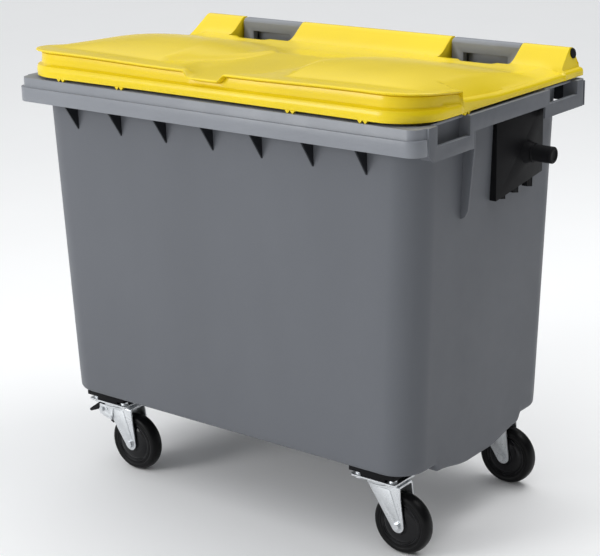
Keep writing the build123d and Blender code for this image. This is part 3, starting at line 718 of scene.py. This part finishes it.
def make_tyre(name, centre):
    """A solid tyre: a crowned tread between rounded shoulders, with a bead at the rim."""
    half = []
    for k in range(9):
        a = math.pi / 2 * k / 8
        half.append((TYRE_RADIUS - TREAD_CROWN * (1 - math.cos(a)), TYRE_HALF * math.sin(a) ** 0.9))
    half += [(66, 19.2), (63.5, 18.6), (62.5, 17.8), (60.5, 18.3), (58.2, 18.3), (57.1, 17.2)]
    profile = [(r, -y) for r, y in reversed(half)][:-1] + half
    tyre = revolve(f"tyre_{name}_ring", profile, centre, f"wheel_{name}", "tyre_rubber")
    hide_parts(f"tyre_{name}")


def make_wheel_centre(name, centre):
    """The wheel's black centre: a flanged rim, a domed cover and a nave with raised rings."""
    half = [(57, 17.2), (55.2, 18.6), (53.2, 18.4), (51.5, 16.2), (49, 16.0), (46, 18.2), (40, 20.2)]
    half += [(32, 21.2), (25, 21.6), (23.5, 20.4), (21.5, 20.4), (20, 22.2), (12, 22.6), (9.2, 22.2)]
    profile = [(57, -17.2), *[(r, -y) for r, y in half[1:]], *reversed(half)]
    hub = revolve(f"wheel_centre_{name}_hub", profile, centre, f"wheel_{name}", "wheel_plastic")
    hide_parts(f"wheel_centre_{name}")


# Camera, light and floor

AIM = (0.085678, 0.105899, 0.532102)
DISTANCE = 4.279804
SENSOR = 36
LENS = 95.09064
SHIFT = (-0.0833333, 0.0069467)
FLOOR_HALF = 60


def make_camera():
    """A long lens from the front right, a little above the lid."""
    turn, rise, roll = math.radians(36.253), math.radians(17.633), math.radians(-0.762)
    back = Vector((math.sin(turn) * math.cos(rise), -math.cos(turn) * math.cos(rise), math.sin(rise)))
    target = Vector(AIM)
    right = (-back).cross(Vector((0, 0, 1))).normalized()
    up = right.cross(-back)
    side = right * math.cos(roll) + up * math.sin(roll)
    top = up * math.cos(roll) - right * math.sin(roll)
    camera = bpy.data.objects.new("camera", bpy.data.cameras.new("camera"))
    axes = Matrix((side, top, back)).transposed()
    camera.matrix_world = Matrix.Translation(target + back * DISTANCE) @ axes.to_4x4()
    camera.data.lens = LENS
    camera.data.sensor_width = SENSOR
    camera.data.sensor_fit = "HORIZONTAL"
    camera.data.shift_x, camera.data.shift_y = SHIFT
    camera.data.clip_end = 100
    bpy.context.scene.collection.objects.link(camera)
    bpy.context.scene.camera = camera


def area_light(name, place, target, size, power):
    """A soft rectangular lamp aimed at a point."""
    lamp = bpy.data.objects.new(name, bpy.data.lights.new(name, "AREA"))
    lamp.data.shape = "RECTANGLE"
    lamp.data.size, lamp.data.size_y = size
    lamp.data.energy = power
    lamp.location = place
    aim = Vector(target) - Vector(place)
    lamp.rotation_euler = aim.to_track_quat("-Z", "Y").to_euler()
    bpy.context.scene.collection.objects.link(lamp)


# Each glow: the way it lies, the cosines where it starts and is full, and its strength at both
WORLD_LIGHT = (
    ((-0.6, -0.8, 0.12), -0.28, 1.0, 0.02, 0.74),
    ((-0.3, 0.1, 1), 0.3, 1.0, 0.0, 0.85),
    ((-0.3, 0.5, 0.9), 0.72, 1.0, 0.0, 0.45),
    ((0, 0, -1), -0.2, -0.03, 0.0, 0.5),
)


def make_world():
    """Soft studio light: a front left wall, the ceiling, a rear softbox and a pale horizon."""
    world = bpy.data.worlds.new("studio")
    world.use_nodes = True
    tree = world.node_tree
    place = tree.nodes.new("ShaderNodeTexCoord")
    total = None
    for axis, start, full, low, high in WORLD_LIGHT:
        facing = tree.nodes.new("ShaderNodeVectorMath")
        facing.operation = "DOT_PRODUCT"
        facing.inputs[1].default_value = Vector(axis).normalized()
        tree.links.new(place.outputs["Generated"], facing.inputs[0])
        ramp = tree.nodes.new("ShaderNodeMapRange")
        ramp.interpolation_type = "SMOOTHSTEP"
        for key, number in (("From Min", start), ("From Max", full), ("To Min", low), ("To Max", high)):
            ramp.inputs[key].default_value = number
        tree.links.new(facing.outputs["Value"], ramp.inputs["Value"])
        part = ramp.outputs["Result"]
        if total is not None:
            sum_up = tree.nodes.new("ShaderNodeMath")
            tree.links.new(total, sum_up.inputs[0])
            tree.links.new(part, sum_up.inputs[1])
            part = sum_up.outputs["Value"]
        total = part
    tree.links.new(total, tree.nodes["Background"].inputs["Strength"])
    tree.nodes["Background"].inputs["Color"].default_value = (0.97, 0.985, 1.0, 1.0)
    bpy.context.scene.world = world
    bpy.context.scene.view_settings.view_transform = "Standard"


def make_floor():
    """A pale matt floor, wide enough to reach the horizon."""
    mesh = bpy.data.meshes.new("floor")
    corners = [(-1, -1), (1, -1), (1, 1), (-1, 1)]
    verts = [(x * FLOOR_HALF, y * FLOOR_HALF, 0) for x, y in corners]
    mesh.from_pydata(verts, [], [(0, 1, 2, 3)])
    floor = bpy.data.objects.new("floor", mesh)
    bpy.context.scene.collection.objects.link(floor)
    n = Nodes("floor")
    shade_of = n.blend(n.noise(1.5, 3.0), (0.93, 0.93, 0.93, 1), (0.95, 0.95, 0.95, 1))
    mesh.materials.append(n.finish(Base_Color=shade_of, Roughness=0.75, Specular_IOR_Level=0.2))


make_camera()
make_world()
make_floor()
area_light("key", (-2.7, -4.9, 2.3), (0, 0, 0.7), (2.2, 2.2), 116)
area_light("top", (1.3, 1.2, 4.2), (0.1, 0, 1.1), (2.6, 2.6), 66)

for node, obj in frame["nodes"].items():
    obj.data.materials.clear()
    obj.data.materials.append(FINISH[SLOTS[node]])

make_lid()
make_tub()
# The rim, with a painted shadow on its front and rear gussets.
paint_fin_shadows(soften("rim_frame", 2.0))
soften("rear_handle_left", 3.0)
soften("rear_handle_right", 3.0)
for end in ("left", "right"):
    soften(f"trunnion_panel_{end}", 1.0)
    soften(f"trunnion_sleeve_{end}", 1.0)
    soften(f"trunnion_pin_{end}", 0.8)
for name in CASTERS:
    low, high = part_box(f"tyre_{name}")
    centre = (low + high) / 2 / MM
    make_tyre(name, centre)
    make_wheel_centre(name, centre)
    soften(f"caster_mount_{name}", 1.0)
    soften(f"caster_plate_{name}", 0.8)
    soften(f"fork_{name}", 0.9)
for name in ("front_left", "rear_left"):
    soften(f"brake_pedal_{name}", 2.0)
    soften(f"brake_bracket_{name}", 0.6)
